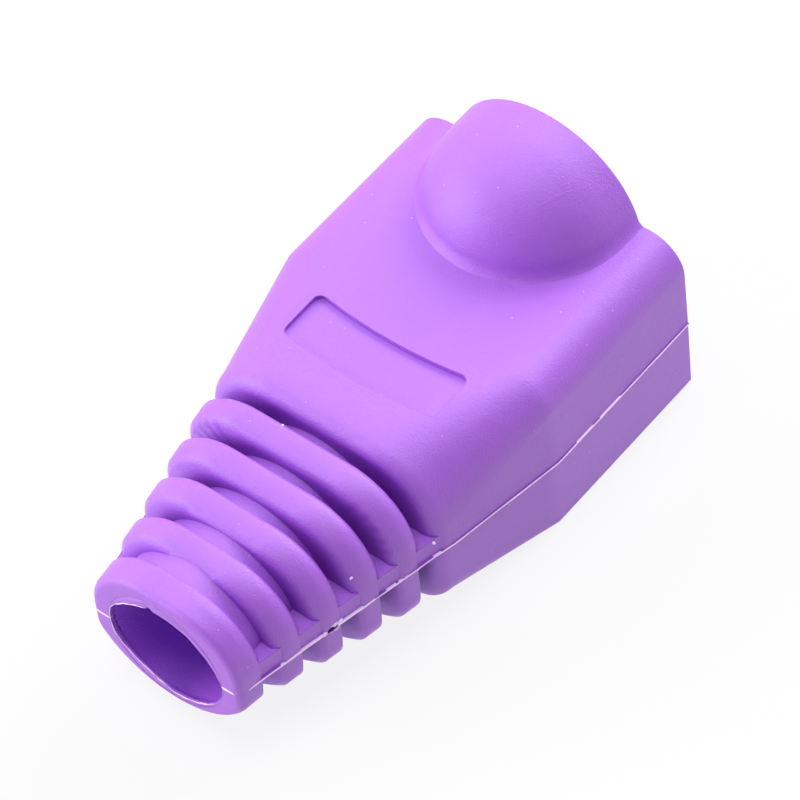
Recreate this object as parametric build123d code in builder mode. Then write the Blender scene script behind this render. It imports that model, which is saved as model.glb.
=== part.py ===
from build123d import *
from math import atan, degrees, radians, tan
import os

os.makedirs("parts", exist_ok=True)

# A strain relief boot for a modular data plug, moulded in one piece of soft PVC.
# The cable enters at y = 0 and the plug sits in the mouth at the far end of +Y.
# X runs across, Z is up, and the two halves of the mould meet on the plane z = 0.
# The origin is the centre of the cable bore on the cable end's face.
# All sizes are millimetres.

# Driving dimensions of the cable bore and the flexible sleeve
bore_diameter = 6.0
core_wall = 0.55
rib_count = 4
rib_thickness = 1.305
slot_width = 0.71
end_ring_length = 1.47
ring_half_width = 4.1
ring_crown = 3.66
ring_base = 3.5
ring_side_drop = 1.05
ring_crown_radius = 3.3
ring_base_radius = 1.2
sleeve_inset = 0.08
sleeve_crown = 4.62
sleeve_base = 4.2
sleeve_side_drop = 3.4
sleeve_crown_radius = 3.4
sleeve_base_radius = 1.9
end_draft = 6.5
rib_draft = 9.5
rib_near_edge = 0.3
rib_far_edge = 0.24
end_rim_radius = 0.38
web_top = 1.0
web_bottom = 0.12
web_setback = 0.05

# Driving dimensions of the collar that takes the plug
neck_inset = 1.11
neck_crown = 4.76
neck_crown_radius = 3.6
neck_base = 4.12
neck_base_radius = 1.7
neck_lip_length = 1.0
neck_edge_radius = 0.8
neck_to_shoulder = 6.76
shoulder_crown_radius = 1.75
shoulder_to_mouth = 9.2
collar_half_width = 7.16
collar_crown = 4.85
collar_base = 4.3
collar_base_radius = 0.25
collar_draft = 1.5
mouth_lip_reach = 0.2

# Driving dimensions of the hollow inside
collar_wall = 1.15
crown_wall = 1.0
base_wall = 1.0
cavity_corner_radius = 0.5
cavity_depth = 9.4
funnel_length = 4.6
throat_step = 0.2
plug_ledge = 0.3

# Driving dimensions of the hood over the plug's latch
hood_margin = 0.403
hood_axis_drop = 0.9
hood_straight_length = 1.25
hood_wall = 1.0
hood_root_bevel = 0.18

# Driving dimensions of the label recess on the crown
label_margin = 1.28
label_length = 2.5
label_setback = 2.65
label_bow = 0.33
label_depth = 0.22
label_corner_radius = 0.35

# Driving dimensions of the marks that the mould leaves
flash_thickness = 0.1
flash_reach = 0.05
gate_pit_length = 0.72
gate_pit_height = 0.38
gate_pit_depth = 0.3
gate_pit_y = 4.87

# Sizes that follow
bore_radius = bore_diameter / 2
core_radius = bore_radius + core_wall
pitch = rib_thickness + slot_width
neck_y = end_ring_length + rib_count * pitch + slot_width
shoulder_y = neck_y + neck_to_shoulder
mouth_y = shoulder_y + shoulder_to_mouth
neck_half_width = collar_half_width - neck_inset
sleeve_half_width = neck_half_width - sleeve_inset
cavity_y = mouth_y - cavity_depth
funnel_y = cavity_y - funnel_length
hood_axis_z = collar_crown - hood_axis_drop
hood_centre_y = mouth_y - hood_straight_length
lip_y = neck_y + neck_lip_length
end_taper = end_ring_length * tan(radians(end_draft))
mould_slope = tan(radians(collar_draft))
crown_flat = collar_half_width - collar_crown * mould_slope - shoulder_crown_radius
hood_radius = crown_flat - hood_margin
label_half_width = crown_flat - label_margin
flank_slope = (collar_half_width - neck_half_width) / neck_to_shoulder
flank_angle = degrees(atan(flank_slope))


def between(start, end, share):
    """The value that lies a share of the way from start to end."""
    return start + (end - start) * share


def sleeve_share(y):
    """How far y lies along the sleeve, from its end ring to the collar."""
    return (y - end_ring_length) / (neck_y - end_ring_length)


def sleeve_side(y):
    """The sleeve's half width at y, on the seam."""
    return between(ring_half_width, sleeve_half_width, sleeve_share(y))


def sleeve_section(y):
    """The sleeve's section at y: a rounded crown over upright sides and a round belly."""
    share = sleeve_share(y)
    half_width = sleeve_side(y)
    crown = between(ring_crown, sleeve_crown, share)
    base = between(ring_base, sleeve_base, share)
    side_drop = between(ring_side_drop, sleeve_side_drop, share)
    crown_radius = between(ring_crown_radius, sleeve_crown_radius, share)
    base_radius = between(ring_base_radius, sleeve_base_radius, share)
    with BuildSketch(Plane.XZ.offset(-y)) as section:
        with BuildLine():
            belly = ThreePointArc((-half_width, -side_drop), (0, -base), (half_width, -side_drop))
            Polyline(belly @ 1, (half_width, crown), (-half_width, crown), belly @ 0)
        make_face()
        fillet(section.vertices().sort_by(Axis.Y)[-2:], crown_radius)
        fillet(section.vertices().sort_by(Axis.Y)[:2], base_radius)
    return section.sketch


def edges_on(part, y):
    """The edges of a part that lie in the plane across the bore at y."""
    return part.edges().filter_by_position(Axis.Y, y - 0.001, y + 0.001)


def slab(section, y, length, flank_draft):
    """A slab that ends at y with the given section and narrows towards the cable."""
    with BuildPart() as body:
        extrude(section, amount=length)
        flanks = body.faces().filter_by(Axis.Y, reverse=True)
        draft(flanks, Plane.XZ.offset(-y), flank_draft)
    return body.part


# The ring at the cable end has a well rounded rim
with BuildPart() as end_ring:
    ring_end = sleeve_section(end_ring_length)
    add(slab(ring_end, end_ring_length, end_ring_length, end_draft))
    fillet(edges_on(end_ring, 0), end_rim_radius)
    chamfer(edges_on(end_ring, end_ring_length), rib_far_edge)

# Each rib is a slice of the tapering sleeve with broken edges
with BuildPart() as ribs:
    for count in range(rib_count):
        far_y = end_ring_length + (count + 1) * pitch
        add(slab(sleeve_section(far_y), far_y, rib_thickness, rib_draft))
        chamfer(edges_on(ribs, far_y - rib_thickness), rib_near_edge)
        chamfer(edges_on(ribs, far_y), rib_far_edge)

# The web along the seam joins ring, ribs and collar on both sides
with BuildPart() as web:
    web_start = end_ring_length - rib_far_edge
    web_end = neck_y + neck_edge_radius
    with BuildSketch(Plane.XY.offset(-web_bottom)):
        with BuildLine():
            Polyline(
                (-sleeve_side(web_start) + web_setback, web_start),
                (sleeve_side(web_start) - web_setback, web_start),
                (sleeve_side(web_end) - web_setback, web_end),
                (-sleeve_side(web_end) + web_setback, web_end),
                close=True,
            )
        make_face()
    extrude(amount=web_bottom + web_top)


def collar_section(y, half_width, crown, base, crown_radius, base_radius):
    """The collar's section at y: two drafted halves that meet on the seam."""
    crown_half = half_width - crown * mould_slope
    base_half = half_width - base * mould_slope
    with BuildSketch(Plane.XZ.offset(-y)) as section:
        with BuildLine():
            Polyline(
                (half_width, 0),
                (crown_half, crown),
                (-crown_half, crown),
                (-half_width, 0),
                (-base_half, -base),
                (base_half, -base),
                close=True,
            )
        make_face()
        fillet(section.vertices().group_by(Axis.Y)[-1], crown_radius)
        fillet(section.vertices().group_by(Axis.Y)[0], base_radius)
    return section.sketch


def collar_side(y):
    """The collar's half width at y, on the seam, behind its shoulder."""
    return neck_half_width + (y - neck_y) * flank_slope


# The collar widens from a rounded lip to its shoulder and then runs straight to the mouth
with BuildPart() as collar:
    lip = collar_section(
        lip_y, collar_side(lip_y), neck_crown, neck_base, neck_crown_radius, neck_base_radius
    )
    shoulder = collar_section(
        shoulder_y,
        collar_half_width,
        collar_crown,
        collar_base,
        shoulder_crown_radius,
        collar_base_radius,
    )
    add(slab(lip, lip_y, neck_lip_length, flank_angle))
    fillet(edges_on(collar, neck_y), neck_edge_radius)
    loft(sections=[lip, shoulder], ruled=True)
    extrude(shoulder, amount=-shoulder_to_mouth - mouth_lip_reach)


def dome(radius):
    """A round-ended bar along the hood's axis, as the hood's outside or its hollow."""
    with BuildPart() as body:
        with Locations((0, hood_centre_y, hood_axis_z)):
            Sphere(radius)
        with BuildSketch(Plane.XZ.offset(-hood_centre_y)):
            with Locations((0, hood_axis_z)):
                Circle(radius)
        extrude(amount=-hood_radius)
    return body.part


# The plug's cavity, the funnel behind it and the cable bore are one open way
with BuildPart() as hollow:
    cavity_half_width = collar_half_width - collar_wall
    cavity_top = collar_crown - crown_wall
    cavity_bottom = collar_base - base_wall
    with BuildSketch(Plane.XZ.offset(-cavity_y)) as cavity:
        with Locations((0, (cavity_top - cavity_bottom) / 2)):
            RectangleRounded(
                2 * cavity_half_width, cavity_top + cavity_bottom, cavity_corner_radius
            )
    extrude(amount=-2 * cavity_depth)
    with BuildSketch(Plane.XZ.offset(-cavity_y)) as funnel_mouth:
        with Locations((0, (cavity_top - cavity_bottom) / 2)):
            Rectangle(
                2 * (cavity_half_width - plug_ledge), cavity_top + cavity_bottom - 2 * plug_ledge
            )
    with BuildSketch(Plane.XZ.offset(-funnel_y)) as throat:
        Rectangle(bore_diameter + 2 * throat_step, bore_diameter + 2 * throat_step)
    loft(sections=[throat.sketch, funnel_mouth.sketch], ruled=True)
    with BuildSketch(Plane.XZ.offset(-funnel_y)) as bore:
        Circle(bore_radius)
    extrude(bore.sketch, amount=2 * funnel_y)
    add(dome(hood_radius - hood_wall))

# The halves of the mould leave a thin line of flash along the seam
with BuildPart() as flash:
    with BuildSketch(Plane.XY.offset(-flash_thickness / 2)):
        with BuildLine():
            Polyline(
                (0, end_rim_radius),
                (ring_half_width - end_taper, end_rim_radius),
                (ring_half_width + flash_reach, end_ring_length),
                (sleeve_half_width + flash_reach, neck_y),
                (collar_side(lip_y) + flash_reach, lip_y),
                (collar_half_width + flash_reach, shoulder_y),
                (collar_half_width + flash_reach, mouth_y),
                (0, mouth_y),
                close=True,
            )
        make_face()
        mirror(about=Plane.YZ)
    extrude(amount=flash_thickness)

with BuildPart() as boot:
    add(collar.part)
    add(dome(hood_radius))
    add(ribs.part)
    add(end_ring.part)
    add(web.part)
    # A round core tube runs under the slots from the ring to the collar
    with BuildSketch(Plane.XZ.offset(-end_ring_length / 2)) as core:
        Circle(core_radius)
    extrude(amount=-neck_y)

    # The hood meets the crown in a small bevelled root
    crown_edges = boot.edges().filter_by_position(
        Axis.Z, collar_crown - 0.001, collar_crown + 0.001
    )
    hood_root = crown_edges.filter_by(
        lambda edge: edge.bounding_box().min.Y > shoulder_y + 0.1
        and abs(edge.center().X) < hood_radius
    )
    chamfer(hood_root, hood_root_bevel)
    add(flash.part)

    # The mouth is upright above the seam and leans forward below it
    with BuildSketch(Plane.YZ) as ahead:
        with BuildLine():
            Polyline(
                (mouth_y, hood_radius + collar_crown),
                (mouth_y, 0),
                (mouth_y + mouth_lip_reach, -collar_base),
                (mouth_y + 2 * hood_radius, -collar_base),
                (mouth_y + 2 * hood_radius, hood_radius + collar_crown),
                close=True,
            )
        make_face()
    extrude(amount=2 * collar_half_width, both=True, mode=Mode.SUBTRACT)
    add(hollow.part, mode=Mode.SUBTRACT)

    # The label recess on the crown bows towards the cable end
    label_y = shoulder_y - label_setback
    crown_slope = (collar_crown - neck_crown) / neck_to_shoulder
    label_z = collar_crown - crown_slope * label_setback
    label_plane = Plane(
        origin=(0, label_y, label_z), x_dir=(1, 0, 0), z_dir=(0, -crown_slope, 1)
    )
    with BuildSketch(label_plane) as label:
        with BuildLine():
            half_length = label_length / 2
            far_arc = ThreePointArc(
                (-label_half_width, half_length),
                (0, half_length - label_bow),
                (label_half_width, half_length),
            )
            near_arc = ThreePointArc(
                (-label_half_width, -half_length),
                (0, -half_length - label_bow),
                (label_half_width, -half_length),
            )
            Line(far_arc @ 0, near_arc @ 0)
            Line(far_arc @ 1, near_arc @ 1)
        make_face()
        fillet(label.vertices(), label_corner_radius)
    extrude(amount=-label_depth, mode=Mode.SUBTRACT)

    # The gate was torn off at the seam and left a pit in the second rib
    with BuildSketch(Plane.YZ.offset(sleeve_side(gate_pit_y) - gate_pit_depth)):
        with Locations((gate_pit_y, 0)):
            Ellipse(gate_pit_length / 2, gate_pit_height / 2)
    extrude(amount=2 * gate_pit_depth, mode=Mode.SUBTRACT)

boot.part.label = "boot"
export_step(boot.part, "parts/boot.step")
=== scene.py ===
# %% [markdown]
# # A boot of soft PVC for a modular data plug
# This lesson dresses one small moulding: a ribbed sleeve for the cable, a boxy
# collar for the plug and a round hood over the plug's latch. Its shape comes
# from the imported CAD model, which is loaded first and never moved. Blender adds
# what the mould and the shop left on the real one: soft edges, a fine matte
# grain, ragged flash along the seam, a torn gate and some dust.

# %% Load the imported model
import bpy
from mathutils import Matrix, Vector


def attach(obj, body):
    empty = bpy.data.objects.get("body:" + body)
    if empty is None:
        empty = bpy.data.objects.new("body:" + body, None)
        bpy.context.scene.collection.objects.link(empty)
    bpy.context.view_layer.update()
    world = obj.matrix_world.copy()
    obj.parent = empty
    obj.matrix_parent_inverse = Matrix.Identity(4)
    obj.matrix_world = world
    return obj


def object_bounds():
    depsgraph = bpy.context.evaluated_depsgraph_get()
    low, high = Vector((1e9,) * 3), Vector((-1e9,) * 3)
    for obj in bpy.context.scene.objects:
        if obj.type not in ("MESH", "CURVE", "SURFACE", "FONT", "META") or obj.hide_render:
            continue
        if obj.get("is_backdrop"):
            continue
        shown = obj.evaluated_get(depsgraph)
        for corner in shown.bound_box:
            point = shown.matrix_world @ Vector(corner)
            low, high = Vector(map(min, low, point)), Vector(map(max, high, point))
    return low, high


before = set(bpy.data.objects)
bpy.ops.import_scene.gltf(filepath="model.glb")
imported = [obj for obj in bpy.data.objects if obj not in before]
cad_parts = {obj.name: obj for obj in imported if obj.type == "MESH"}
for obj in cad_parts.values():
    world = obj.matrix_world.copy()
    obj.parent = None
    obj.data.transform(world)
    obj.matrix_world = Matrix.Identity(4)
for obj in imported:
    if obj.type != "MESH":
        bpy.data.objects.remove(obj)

cad_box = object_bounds()
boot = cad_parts["boot"]
print("box of the moulding, mm:", [[round(c * 1000, 2) for c in corner] for corner in cad_box])

# %% Open the tools of the lesson
from math import cos, hypot, radians, sin

import bmesh
import bpy
from mathutils import Matrix, Vector, noise

MM = 0.001
six_sides = (0, 1.05, 2.09, 3.14, 4.19, 5.24)  # the turns of a thin thread's sides


def mm(x, y, z):
    """A place given in millimetres, as Blender's metres."""
    return Vector((x, y, z)) * MM


# %% [markdown]
# ## The camera
# The picture was taken with a long lens from above the cable end, a little to
# the right, with the camera rolled by a few degrees. A camera could be placed
# by eye, but the seam, the bore's rim and the collar's edges are enough to
# work out where it stood, so its angles and distance are written here as found.
# A long lens keeps the ribs almost the same size from front to back.

# %% Place the camera
aim = mm(0.446, 15.018, 1.388)
azimuth, elevation, roll = radians(43.544), radians(51.174), radians(-6.612)
distance = 199.142 * MM

away = Vector((sin(azimuth) * cos(elevation), -cos(azimuth) * cos(elevation), sin(elevation)))
level = Vector((cos(azimuth), sin(azimuth), 0))
upright = away.cross(level)
across = level * cos(roll) + upright * sin(roll)
rise = upright * cos(roll) - level * sin(roll)

lens = bpy.data.cameras.new("camera")
lens.lens, lens.sensor_width = 213.79, 36
lens.clip_start, lens.clip_end = 0.01, 10
camera = bpy.data.objects.new("camera", lens)
bpy.context.scene.collection.objects.link(camera)
turn = Matrix((across, rise, away)).transposed()
camera.matrix_world = Matrix.Translation(aim + away * distance) @ turn.to_4x4()
bpy.context.scene.camera = camera
bpy.context.scene.view_settings.view_transform = "Standard"
print("camera stands at, mm:", [round(c / MM, 1) for c in camera.location])

# %% [markdown]
# ## The light
# A small product on a white table is lit softly from all round. One dome of
# even light would be the simplest, but it leaves the ribs flat. Here the world
# gives only a little, and soft boxes give the rest: most of it from behind, from
# above and from low on the front left, so the crown and the hood's left side are
# bright, the right flank is about half as bright, and the slots stay deep.

# %% Light the table
world = bpy.data.worlds.new("light_tent")
bpy.context.scene.world = world
world.use_nodes = True
tent = world.node_tree
tent.nodes.clear()


def seen_white(tree):
    """A mask that is 1 for what the camera sees, straight or through gloss and glass."""
    path = tree.nodes.new("ShaderNodeLightPath")
    masks = [path.outputs[f"Is {kind} Ray"] for kind in ("Camera", "Glossy", "Transmission")]
    while len(masks) > 1:
        either = tree.nodes.new("ShaderNodeMath")
        either.operation = "MAXIMUM"
        tree.links.new(masks.pop(), either.inputs[0])
        tree.links.new(masks.pop(), either.inputs[1])
        masks.append(either.outputs[0])
    return masks[0]


even_light = tent.nodes.new("ShaderNodeBackground")
even_light.inputs["Color"].default_value = (1, 1, 1, 1)
even_light.inputs["Strength"].default_value = 0.05
white_wall = tent.nodes.new("ShaderNodeBackground")
white_wall.inputs["Color"].default_value = (1, 1, 1, 1)
white_wall.inputs["Strength"].default_value = 1
choose = tent.nodes.new("ShaderNodeMixShader")
sky = tent.nodes.new("ShaderNodeOutputWorld")
tent.links.new(seen_white(tent), choose.inputs[0])
tent.links.new(even_light.outputs[0], choose.inputs[1])
tent.links.new(white_wall.outputs[0], choose.inputs[2])
tent.links.new(choose.outputs[0], sky.inputs["Surface"])


def soft_box(name, place, size, power):
    """A square area lamp at a place, turned to the moulding."""
    lamp = bpy.data.lights.new(name, "AREA")
    lamp.shape, lamp.size, lamp.energy = "SQUARE", size, power
    stand = bpy.data.objects.new(name, lamp)
    stand.location = place
    stand.rotation_mode = "QUATERNION"
    stand.rotation_quaternion = (aim - place).to_track_quat("-Z", "Y")
    bpy.context.scene.collection.objects.link(stand)
    return stand


# %% Set the soft boxes round and above it
# Each box has its turn from the cable end and its height in degrees, and its power in watts.
box_size, box_reach = 0.2, 0.35
stands = {
    "back": (180, 32, 0.96),
    "back_right": (135, 32, 0.10),
    "back_left": (225, 38, 0.22),
    "left": (270, 32, 0.30),
    "front_left": (315, 14, 0.88),
    "top": (0, 84, 0.65),
}
for name, (turned, height, power) in stands.items():
    turned, height = radians(turned), radians(height)
    heading = Vector((sin(turned) * cos(height), -cos(turned) * cos(height), sin(height)))
    soft_box(name, aim + heading * box_reach, box_size, power)
    print(f"{name:11} {power} W")

# %% [markdown]
# ## The table
# The moulding lies on the flat underside of its collar. A white sheet carries
# it, and most of what the camera sees of the sheet is a plain white glow, so
# the ground stays white as in the picture, with a faint shadow under the part.
# For the other rays it glows less, as a brightly lit sheet does from below.
# The sheet's lower side lets the camera through, for a look from below.

# %% Lay the white sheet
sheet_mesh = bpy.data.meshes.new("table")
edge = 1.5
low = cad_box[0].z - 0.00001
sheet_mesh.from_pydata(
    [(-edge, -edge, low), (edge, -edge, low), (edge, edge, low), (-edge, edge, low)], [], [(0, 1, 2, 3)]
)
table = bpy.data.objects.new("table", sheet_mesh)
bpy.context.scene.collection.objects.link(table)
table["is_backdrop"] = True

paper = bpy.data.materials.new("white_sheet")
paper.use_nodes = True
nodes, links = paper.node_tree.nodes, paper.node_tree.links
nodes.clear()
matte = nodes.new("ShaderNodeBsdfDiffuse")
matte.inputs["Color"].default_value = (0.8, 0.8, 0.8, 1)
glow = nodes.new("ShaderNodeEmission")
glow.inputs["Strength"].default_value = 1
clear = nodes.new("ShaderNodeBsdfTransparent")
side = nodes.new("ShaderNodeNewGeometry")
glow_seen, glow_always = 0.85, 0.35
most = nodes.new("ShaderNodeMath")
most.operation, most.inputs[1].default_value = "MULTIPLY", glow_seen
share = nodes.new("ShaderNodeMath")
share.operation, share.inputs[1].default_value = "MAXIMUM", glow_always
lit = nodes.new("ShaderNodeMixShader")
whole = nodes.new("ShaderNodeMixShader")
out = nodes.new("ShaderNodeOutputMaterial")
links.new(seen_white(paper.node_tree), most.inputs[0])
links.new(most.outputs[0], share.inputs[0])
links.new(share.outputs[0], lit.inputs[0])
links.new(matte.outputs[0], lit.inputs[1])
links.new(glow.outputs[0], lit.inputs[2])
links.new(side.outputs["Backfacing"], whole.inputs[0])
links.new(lit.outputs[0], whole.inputs[1])
links.new(clear.outputs[0], whole.inputs[2])
links.new(whole.outputs[0], out.inputs["Surface"])
sheet_mesh.materials.append(paper)
print("the sheet lies at z =", round(low / MM, 2), "mm")

# %% [markdown]
# ## Soft edges
# No edge of a PVC moulding is as crisp as its drawing. The CAD model breaks its
# edges with small flats, and they can be made to look round by real fillets,
# by a bevel in Blender, or by letting the shading run over them. The flats are
# already the right width, so the last way is taken: the points of the mesh are
# welded, and the big faces keep their own direction while the flats between
# them shade as round. Edges over a limit stay crisp, and so do inner corners up
# to the crown, which are the slots and the line where the hood stands on it.

# %% A rule for which edges stay crisp
sharpest_soft, shallowest_corner, crown_top = radians(58), radians(-20), 4.87 * MM
crisp_edges = bpy.data.node_groups.new("crisp_edges", "GeometryNodeTree")
crisp_edges.interface.new_socket("Geometry", in_out="INPUT", socket_type="NodeSocketGeometry")
crisp_edges.interface.new_socket("Geometry", in_out="OUTPUT", socket_type="NodeSocketGeometry")
start = crisp_edges.nodes.new("NodeGroupInput")
angle = crisp_edges.nodes.new("GeometryNodeInputMeshEdgeAngle")
over = crisp_edges.nodes.new("FunctionNodeCompare")
over.operation = "GREATER_THAN"
over.inputs["B"].default_value = sharpest_soft
corner = crisp_edges.nodes.new("FunctionNodeCompare")
corner.operation = "LESS_THAN"
corner.inputs["B"].default_value = shallowest_corner
place = crisp_edges.nodes.new("GeometryNodeInputPosition")
parts = crisp_edges.nodes.new("ShaderNodeSeparateXYZ")
below = crisp_edges.nodes.new("FunctionNodeCompare")
below.operation = "LESS_THAN"
below.inputs["B"].default_value = crown_top
inner = crisp_edges.nodes.new("FunctionNodeBooleanMath")
inner.operation = "AND"
either = crisp_edges.nodes.new("FunctionNodeBooleanMath")
either.operation = "OR"
faces = crisp_edges.nodes.new("GeometryNodeSetShadeSmooth")
faces.domain = "FACE"
edges = crisp_edges.nodes.new("GeometryNodeSetShadeSmooth")
edges.domain = "EDGE"
edges.inputs["Shade Smooth"].default_value = False
end = crisp_edges.nodes.new("NodeGroupOutput")
crisp_edges.links.new(start.outputs[0], faces.inputs["Geometry"])
crisp_edges.links.new(faces.outputs[0], edges.inputs["Geometry"])
crisp_edges.links.new(angle.outputs["Unsigned Angle"], over.inputs["A"])
crisp_edges.links.new(angle.outputs["Signed Angle"], corner.inputs["A"])
crisp_edges.links.new(place.outputs[0], parts.inputs[0])
crisp_edges.links.new(parts.outputs["Z"], below.inputs["A"])
crisp_edges.links.new(corner.outputs[0], inner.inputs[0])
crisp_edges.links.new(below.outputs[0], inner.inputs[1])
crisp_edges.links.new(over.outputs[0], either.inputs[0])
crisp_edges.links.new(inner.outputs[0], either.inputs[1])
crisp_edges.links.new(either.outputs[0], edges.inputs["Selection"])
crisp_edges.links.new(edges.outputs[0], end.inputs[0])

# %% Let the shading run over the broken edges
weld = boot.modifiers.new("weld", "WELD")
weld.merge_threshold = 0.0005 * MM
crisp = boot.modifiers.new("crisp_edges", "NODES")
crisp.node_group = crisp_edges
weigh = boot.modifiers.new("weighted_normals", "WEIGHTED_NORMAL")
weigh.mode, weigh.weight, weigh.keep_sharp = "FACE_AREA", 50, True
print("modifiers:", [m.name for m in boot.modifiers])

# %% [markdown]
# ## The soft PVC
# The mould was spark-eroded, so the PVC has a fine matte grain with tiny
# glints. The colour drifts a little where the melt flowed, painted shade darkens
# it in the slots and as a thin line along the sharp rims, and pale dust clings
# to it. One flat colour would look like paint. Each effect is a small group of
# nodes with named sockets, so that the flash can wear the same finish with other values.

# %% A helper for node groups


def effect(name, inputs, outputs):
    """An empty shader group with float inputs and the named outputs."""
    group = bpy.data.node_groups.new(name, "ShaderNodeTree")
    for socket, value in inputs.items():
        made = group.interface.new_socket(socket, in_out="INPUT", socket_type="NodeSocketFloat")
        made.default_value = value
    for socket, kind in outputs.items():
        group.interface.new_socket(socket, in_out="OUTPUT", socket_type=kind)
    start = group.nodes.new("NodeGroupInput")
    end = group.nodes.new("NodeGroupOutput")
    return group, start, end


def step(group, operation, first, second):
    """A maths node in a group, fed by sockets or plain numbers."""
    node = group.nodes.new("ShaderNodeMath")
    node.operation = operation
    for slot, value in enumerate((first, second)):
        if isinstance(value, (int, float)):
            node.inputs[slot].default_value = value
        else:
            group.links.new(value, node.inputs[slot])
    return node.outputs[0]


# %% Grain: the fine pits of the eroded mould
grain, start, end = effect(
    "eroded_grain", {"Size": 0.075, "Depth": 1.0}, {"Height": "NodeSocketFloat"}
)
coords = grain.nodes.new("ShaderNodeTexCoord")
per_metre = step(grain, "DIVIDE", 1000.0, start.outputs["Size"])
fine = grain.nodes.new("ShaderNodeTexNoise")
fine.inputs["Detail"].default_value = 2
grain.links.new(coords.outputs["Object"], fine.inputs["Vector"])
grain.links.new(per_metre, fine.inputs["Scale"])
coarse = grain.nodes.new("ShaderNodeTexNoise")
coarse.inputs["Detail"].default_value = 1
grain.links.new(coords.outputs["Object"], coarse.inputs["Vector"])
grain.links.new(step(grain, "MULTIPLY", per_metre, 0.12), coarse.inputs["Scale"])
both = step(grain, "ADD", fine.outputs["Fac"], step(grain, "MULTIPLY", coarse.outputs["Fac"], 0.5))
grain.links.new(step(grain, "MULTIPLY", both, start.outputs["Depth"]), end.inputs["Height"])
print("group:", grain.name)

# %% Flow: slow drifts of colour where the melt ran
flow, start, end = effect("melt_flow", {"Length": 3.0}, {"Drift": "NodeSocketFloat"})
coords = flow.nodes.new("ShaderNodeTexCoord")
stretch = flow.nodes.new("ShaderNodeMapping")
stretch.inputs["Scale"].default_value = (1.6, 0.5, 1.6)
flow.links.new(coords.outputs["Object"], stretch.inputs["Vector"])
streaks = flow.nodes.new("ShaderNodeTexNoise")
streaks.inputs["Detail"].default_value = 3
streaks.inputs["Distortion"].default_value = 0.8
flow.links.new(stretch.outputs["Vector"], streaks.inputs["Vector"])
flow.links.new(step(flow, "DIVIDE", 1000.0, start.outputs["Length"]), streaks.inputs["Scale"])
flow.links.new(streaks.outputs["Fac"], end.inputs["Drift"])
print("group:", flow.name)

# %% Dust: small pale specks that cling to the surface
dust, start, end = effect(
    "white_dust", {"Spacing": 0.75, "Size": 0.032}, {"Speck": "NodeSocketFloat"}
)
coords = dust.nodes.new("ShaderNodeTexCoord")
cells = dust.nodes.new("ShaderNodeTexVoronoi")
cells.feature = "F1"
per_metre = step(dust, "DIVIDE", 1000.0, start.outputs["Spacing"])
dust.links.new(coords.outputs["Object"], cells.inputs["Vector"])
dust.links.new(per_metre, cells.inputs["Scale"])
reach = step(dust, "DIVIDE", start.outputs["Size"], start.outputs["Spacing"])
inside = step(dust, "SUBTRACT", 1.0, step(dust, "DIVIDE", cells.outputs["Distance"], reach))
speck = step(dust, "MULTIPLY", inside, 3.0)
speck.node.use_clamp = True
dust.links.new(speck, end.inputs["Speck"])
print("group:", dust.name)

# %% Painted shade: the colour deepens in corners that little light reaches
painted_crevice_shade, start, end = effect("painted_crevice_shade", {"Reach": 1.5}, {"Shade": "NodeSocketFloat"})
around = painted_crevice_shade.nodes.new("ShaderNodeAmbientOcclusion")
around.samples = 8
painted_crevice_shade.links.new(step(painted_crevice_shade, "MULTIPLY", start.outputs["Reach"], MM), around.inputs["Distance"])
hidden = step(painted_crevice_shade, "SUBTRACT", 0.5, around.outputs["AO"])
shade = step(painted_crevice_shade, "MULTIPLY", hidden, 3.0)
shade.node.use_clamp = True
painted_crevice_shade.links.new(shade, end.inputs["Shade"])
print("group:", painted_crevice_shade.name)

# %% Painted shade along the rims: a thin darker line on the sharp edges
rims, start, end = effect("painted_rim_shade", {"Radius": 0.14}, {"Line": "NodeSocketFloat"})
rounded = rims.nodes.new("ShaderNodeBevel")
rounded.samples = 6
rims.links.new(step(rims, "MULTIPLY", start.outputs["Radius"], MM), rounded.inputs["Radius"])
flat = rims.nodes.new("ShaderNodeNewGeometry")
turn = rims.nodes.new("ShaderNodeVectorMath")
turn.operation = "DOT_PRODUCT"
rims.links.new(rounded.outputs["Normal"], turn.inputs[0])
rims.links.new(flat.outputs["Normal"], turn.inputs[1])
bend = step(rims, "SUBTRACT", 0.95, turn.outputs["Value"])
line = step(rims, "MULTIPLY", bend, 5.0)
line.node.use_clamp = True
rims.links.new(line, end.inputs["Line"])
print("group:", rims.name)

# %% The PVC itself


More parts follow.
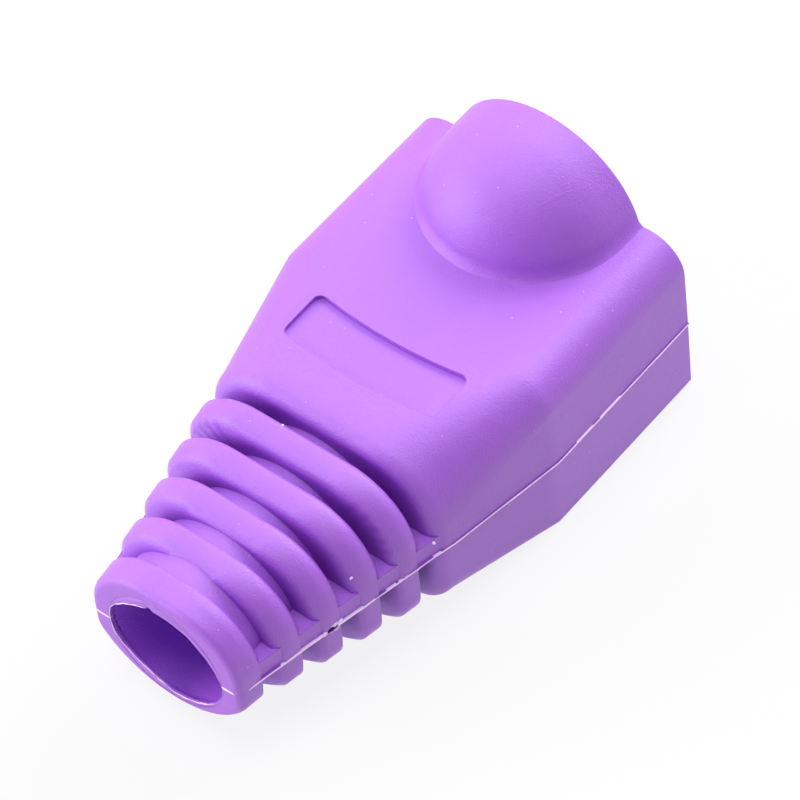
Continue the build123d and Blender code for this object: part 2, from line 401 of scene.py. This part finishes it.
def soft_pvc(name, light, dark, painted_shade_colour, dust_colour, values):
    """A matte PVC whose colour drifts from dark to light, with grain, painted shade in the slots and
    along the rims, and dust.

    The values are the grain's strength and its depth in mm, the roughness, the
    gloss, the bloom of a pale soft coat, the width of the painted shade line along
    the rims in mm, how much the PVC scatters light (glow), and the strength of a
    painted glow in the light colour.
    """
    material = bpy.data.materials.new(name)
    material.use_nodes = True
    tree = material.node_tree
    tree.nodes.clear()
    shader = tree.nodes.new("ShaderNodeBsdfPrincipled")
    out = tree.nodes.new("ShaderNodeOutputMaterial")
    tree.links.new(shader.outputs[0], out.inputs["Surface"])
    groups = {}
    for group in (grain, flow, dust, painted_crevice_shade, rims):
        node = tree.nodes.new("ShaderNodeGroup")
        node.node_tree = group
        groups[group.name] = node
    drift = tree.nodes.new("ShaderNodeMix")
    drift.data_type = "RGBA"
    drift.inputs["A"].default_value = (*dark, 1)
    drift.inputs["B"].default_value = (*light, 1)
    tree.links.new(groups["melt_flow"].outputs["Drift"], drift.inputs["Factor"])
    dusty = tree.nodes.new("ShaderNodeMix")
    dusty.data_type = "RGBA"
    dusty.inputs["B"].default_value = (*dust_colour, 1)
    tree.links.new(groups["white_dust"].outputs["Speck"], dusty.inputs["Factor"])
    # Painted shade: the colour is pulled towards a dark violet where little open space is found around
    # a point, and in a thin line along sharp rims.
    painted_shade_mix = tree.nodes.new("ShaderNodeMix")
    painted_shade_mix.data_type = "RGBA"
    painted_shade_mix.inputs["B"].default_value = (*painted_shade_colour, 1)
    painted_shade_mask = tree.nodes.new("ShaderNodeMath")
    painted_shade_mask.operation = "MAXIMUM"
    tree.links.new(groups["painted_crevice_shade"].outputs["Shade"], painted_shade_mask.inputs[0])
    tree.links.new(groups["painted_rim_shade"].outputs["Line"], painted_shade_mask.inputs[1])
    tree.links.new(painted_shade_mask.outputs[0], painted_shade_mix.inputs["Factor"])
    tree.links.new(drift.outputs["Result"], painted_shade_mix.inputs["A"])
    tree.links.new(painted_shade_mix.outputs["Result"], dusty.inputs["A"])
    tree.links.new(dusty.outputs["Result"], shader.inputs["Base Color"])
    groups["painted_rim_shade"].inputs["Radius"].default_value = values["edge"]
    bump = tree.nodes.new("ShaderNodeBump")
    bump.inputs["Strength"].default_value = values["strength"]
    bump.inputs["Distance"].default_value = values["depth"] * MM
    tree.links.new(groups["eroded_grain"].outputs["Height"], bump.inputs["Height"])
    tree.links.new(bump.outputs["Normal"], shader.inputs["Normal"])
    shader.inputs["Roughness"].default_value = values["roughness"]
    shader.inputs["Specular IOR Level"].default_value = values["gloss"]
    shader.inputs["Coat Weight"].default_value = values["bloom"]
    shader.inputs["Coat Roughness"].default_value = 0.6
    shader.inputs["Emission Color"].default_value = (*light, 1)
    # A painted glow in the light colour, set by the through value.
    shader.inputs["Emission Strength"].default_value = values["through"]
    shader.inputs["Subsurface Weight"].default_value = values["glow"]
    shader.inputs["Subsurface Radius"].default_value = (1.0, 0.5, 1.2)
    shader.inputs["Subsurface Scale"].default_value = 0.5 * MM
    return material


pvc = soft_pvc(
    "soft_pvc_violet",
    light=(0.40, 0.092, 0.77),
    dark=(0.36, 0.070, 0.70),
    # The dark violet painted as shade in the slots and along the rims.
    painted_shade_colour=(0.20, 0.005, 0.40),
    dust_colour=(0.72, 0.50, 0.95),
    values={
        "strength": 1.0, "depth": 0.032, "roughness": 0.55, "gloss": 0.9,
        "bloom": 0.9, "edge": 0.14, "glow": 0.2, "through": 0.0,
    },
)
for place in boot.material_slots:
    place.material = pvc
print("finish:", pvc.name)

# %% The same PVC where it is torn thin, paler and with a faint painted glow
torn = soft_pvc(
    "torn_pvc_pale",
    light=(0.96, 0.78, 1.0),
    dark=(0.86, 0.62, 0.98),
    # A paler violet painted as shade in the fin's corners.
    painted_shade_colour=(0.60, 0.35, 0.75),
    dust_colour=(0.95, 0.90, 1.0),
    values={
        "strength": 0.4, "depth": 0.01, "roughness": 0.5, "gloss": 0.7,
        # The through value is a faint painted glow in the light colour, not light passing through the
        # fin.
        "bloom": 0.0, "edge": 0.01, "glow": 0.0, "through": 0.14,
    },
)
print("finish:", torn.name)

# %% [markdown]
# ## The flash along the seam
# Where the two halves of the mould meet, a little PVC creeps out and sets as a
# thin fin, which looks almost white because it is thin and stretched; its pale
# finish also has a faint painted glow. The CAD model has it as an even line. A
# light stripe in the material would have no edge and no shadow, so a ragged
# ribbon is laid over the line instead: a small ring of points at every step
# along the seam, with a skin over the rings.

# %% A helper that skins a row of rings


def skin(name, rings, finish, closed=False):
    """A closed skin over rings of points, capped at both ends unless the row is a loop."""
    shell = bmesh.new()
    rows = [[shell.verts.new(point) for point in ring] for ring in rings]
    pairs = list(zip(rows, rows[1:])) + ([(rows[-1], rows[0])] if closed else [])
    for near, far in pairs:
        for k in range(len(near)):
            after = (k + 1) % len(near)
            shell.faces.new((near[k], near[after], far[after], far[k]))
    if not closed:
        shell.faces.new(rows[0])
        shell.faces.new(rows[-1])
    return dress(name, shell, finish)


def dress(name, shell, finish):
    """Make a piece of PVC from a bmesh: smooth, finished, and moving with the moulding."""
    bmesh.ops.recalc_face_normals(shell, faces=shell.faces)
    for face in shell.faces:
        face.smooth = True
    mesh = bpy.data.meshes.new(name)
    shell.to_mesh(mesh)
    shell.free()
    mesh.materials.append(finish)
    piece = bpy.data.objects.new(name, mesh)
    bpy.context.scene.collection.objects.link(piece)
    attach(piece, "root")
    return piece


def ragged(along, pitch, seed):
    """A smooth swing, mostly between -0.5 and 0.5, that is the same on every run."""
    return noise.noise(Vector((along / pitch, seed, 0.5)))


# %% Walk along the seam from the bore to the mouth
rim = 0.38
corners = [(2.97, 0.0)]
corners += [(3.55 + rim * sin(radians(t)), rim - rim * cos(radians(t))) for t in range(0, 91, 15)]
corners += [(4.15, 1.47), (6.02, 10.24), (6.264, 11.24), (7.21, 17.0), (7.21, 26.18)]
walk, travelled = [], 0.0
for (x0, y0), (x1, y1) in zip(corners, corners[1:]):
    run = hypot(x1 - x0, y1 - y0)
    paces = max(1, round(run / 0.06))
    for k in range(paces):
        share_of_run = k / paces
        spot = (x0 + (x1 - x0) * share_of_run, y0 + (y1 - y0) * share_of_run)
        walk.append((travelled + run * share_of_run, spot, ((y1 - y0) / run, (x0 - x1) / run)))
    travelled += run
print("the seam is", round(travelled, 2), "mm long on each side, in", len(walk), "steps")

# %% Lay the flash, with a gap at the gate


def flash(name, side, start, stop, seed):
    """A ragged fin over the seam between two distances from the bore, on one side."""
    rings = []
    for along, (x, y), (out_x, out_y) in walk:
        if not start <= along <= stop:
            continue
        fade = min(1.0, 0.2 + (along - start) / 0.15, 0.2 + (stop - along) / 0.15)
        full, rough = (1.0, 1.0) if along < 11.5 else (0.95, 0.5)
        half = fade * full * (0.048 + 0.016 * rough * ragged(along, 0.9, seed))
        reach = fade * full * (0.035 + 0.02 * rough * ragged(along, 0.7, seed + 6))
        middle = 0.015 * rough * ragged(along, 2.2, seed + 9)
        if side > 0:
            middle += 0.045 * max(0.0, 1 - abs(y - 5) / 3.2)
        section = (
            (-0.1, -half), (0, -half), (reach, -0.2 * half),
            (reach, 0.3 * half), (0, half), (-0.1, half),
        )
        rings.append([mm(side * (x + out_x * o), y + out_y * o, middle + up) for o, up in section])
    return skin(name, rings, torn)


flash("flash_face_right", 1, 0.0, 0.72, 1.0)
flash("flash_before_gate", 1, 1.22, 5.46, 2.0)
flash("flash_after_gate", 1, 6.04, travelled, 3.0)
flash("flash_face_left", -1, 0.0, 0.85, 4.0)
flash("flash_left", -1, 1.15, travelled, 5.0)
print("pieces of flash: 5")

# %% [markdown]
# ## The torn gate
# The melt came in through a small gate on the seam of the second rib. When the
# moulding was torn off its runner, it left a pit with a pale ragged edge and a
# few lumps. The pit is in the CAD model. Its edge is one more skinned loop, and
# the lumps are small balls of mesh whose points are pushed about by noise.

# %% Crumbs of torn PVC


def crumb(name, place, size, stretch, seed, finish):
    """An uneven lump: a ball whose points are pushed in and out."""
    shell = bmesh.new()
    bmesh.ops.create_icosphere(shell, subdivisions=3, radius=1)
    for vert in shell.verts:
        push = 1 + 0.5 * noise.noise(vert.co * 1.3 + Vector((seed, 0, 0)))
        vert.co = place + Vector([c * s * size * MM * push for c, s in zip(vert.co, stretch)])
    return dress(name, shell, finish)


def sleeve_side(y):
    """The sleeve's half width at y on the seam, in mm."""
    return 4.1 + (y - 1.47) * 0.2132


gate = 4.87
crumb("gate_lump_near", mm(sleeve_side(4.5) + 0.02, 4.47, 0.04), 0.12, (0.5, 1.2, 1.0), 1.0, torn)
crumb("gate_lump_far", mm(sleeve_side(5.2) + 0.02, 5.25, 0.12), 0.14, (0.5, 1.1, 1.0), 2.0, torn)
crumb("gate_lump_top", mm(sleeve_side(5.0) + 0.02, 5.03, 0.2), 0.12, (0.5, 1.3, 0.6), 3.0, torn)
rings = []
for k in range(72):
    turned = radians(5 * k)
    y, z = gate + 0.37 * cos(turned), 0.2 * sin(turned)
    thick = 0.045 + 0.04 * ragged(k / 72, 0.07, 4.0)
    rings.append([
        mm(
            sleeve_side(y) + thick * sin(t),
            y + thick * cos(t) * cos(turned), z + thick * cos(t) * sin(turned),
        )
        for t in six_sides
    ])
skin("gate_edge", rings, torn, closed=True)
print("gate at y =", gate, "mm")

# %% [markdown]
# ## The lip of the bore
# The core pin that made the bore sat a little off in the real mould, so a thin
# lip of PVC closes part of the opening and makes it an uneven oval, with a nick
# where a piece has come off. The CAD bore stays round, because the cable needs
# its full width. The lip is one skinned loop inside it: its reach is read from
# a short table of angles, and a pale thread of flash follows its free edge.

# %% How far the lip reaches into the bore
lip_reach = [
    (-180, 0.00), (-166, 0.00), (-154, 0.09), (-143, 0.27), (-134, 0.36), (-118, 0.47), (-102, 0.41),
    (-88, 0.24), (-72, 0.23), (-57, 0.20), (-44, 0.13), (-32, 0.08), (-15, 0.03), (0, 0.07), (13, 0.22),
    (26, 0.32), (42, 0.43), (57, 0.42), (70, 0.49), (86, 0.53), (98, 0.52), (100, 0.34), (111, 0.46),
    (126, 0.43), (143, 0.28), (156, 0.11), (165, 0.00), (180, 0.00),
]


def reach_at(turned):
    """The lip's reach in mm at an angle in degrees, eased from one entry to the next."""
    for (a0, r0), (a1, r1) in zip(lip_reach, lip_reach[1:]):
        if a0 <= turned <= a1:
            share_of_turn = (turned - a0) / (a1 - a0)
            eased = share_of_turn * share_of_turn * (3 - 2 * share_of_turn)
            return r0 + (r1 - r0) * eased
    return 0.0


print("widest reach of the lip:", max(r for _, r in lip_reach), "mm")

# %% Build the lip and its pale thread
bore = 3.0
lip_rings, thread_rings = [], []
for k in range(240):
    turned = -180 + 1.5 * k
    across_x, across_z = cos(radians(turned)), sin(radians(turned))
    reach = max(0.012, reach_at(turned) + 0.012 * ragged(k / 240, 0.012, 7.0))
    inner = bore - reach
    front = min(0.04, reach * 0.6)
    section = (
        (bore + 0.03, 0.012), (inner + front, 0.004), (inner, front + 0.01), (inner, 0.16),
        (inner + 0.3 * reach, 0.2), (bore, 0.34), (bore + 0.03, 0.34),
    )
    lip_rings.append([mm(r * across_x, y, r * across_z) for r, y in section])
    if turned > -30 and turned < 104:
        continue
    fade = min(1.0, 0.25 + abs(turned + 30) / 15, 0.25 + abs(turned - 104) / 15)
    thick = 0.022 * fade * (1 + 0.9 * ragged(k / 240, 0.02, 9.0))
    thread_rings.append([
        mm(
            (inner + thick * cos(t)) * across_x, 0.005 + thick * sin(t),
            (inner + thick * cos(t)) * across_z,
        )
        for t in six_sides
    ])
breach = next(k for k, ring in enumerate(thread_rings) if ring[0].z > 0)
thread_rings = thread_rings[breach:] + thread_rings[:breach]
skin("bore_lip", lip_rings, pvc, closed=True)
skin("bore_lip_thread", thread_rings, torn)
print("lip in", len(lip_rings), "steps")

# %% Three small pale lumps, on two ribs and at the neck
crumb("nib_on_rib", mm(4.9, 6.27, 2.0), 0.06, (0.8, 1.3, 0.8), 5.0, torn)
crumb("nib_at_neck", mm(6.03, 10.16, 1.0), 0.07, (1.0, 0.8, 1.0), 6.0, torn)
crumb("nib_on_crown", mm(-1.03, 9.45, 4.4), 0.05, (1.0, 1.0, 0.5), 8.0, torn)
print("nibs: 3")

# %% [markdown]
# ## Close the lesson
# The growth of the dressed moulding's box over the bare one's box is printed.
# The dress must not make the part any bigger.

# %% Compare the boxes and hand over
bpy.context.view_layer.update()
dressed_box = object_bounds()
bare, dressed = (*cad_box[0], *cad_box[1]), (*dressed_box[0], *dressed_box[1])
print("grown by, mm:", [round((b - a) / MM, 3) for a, b in zip(bare, dressed)])
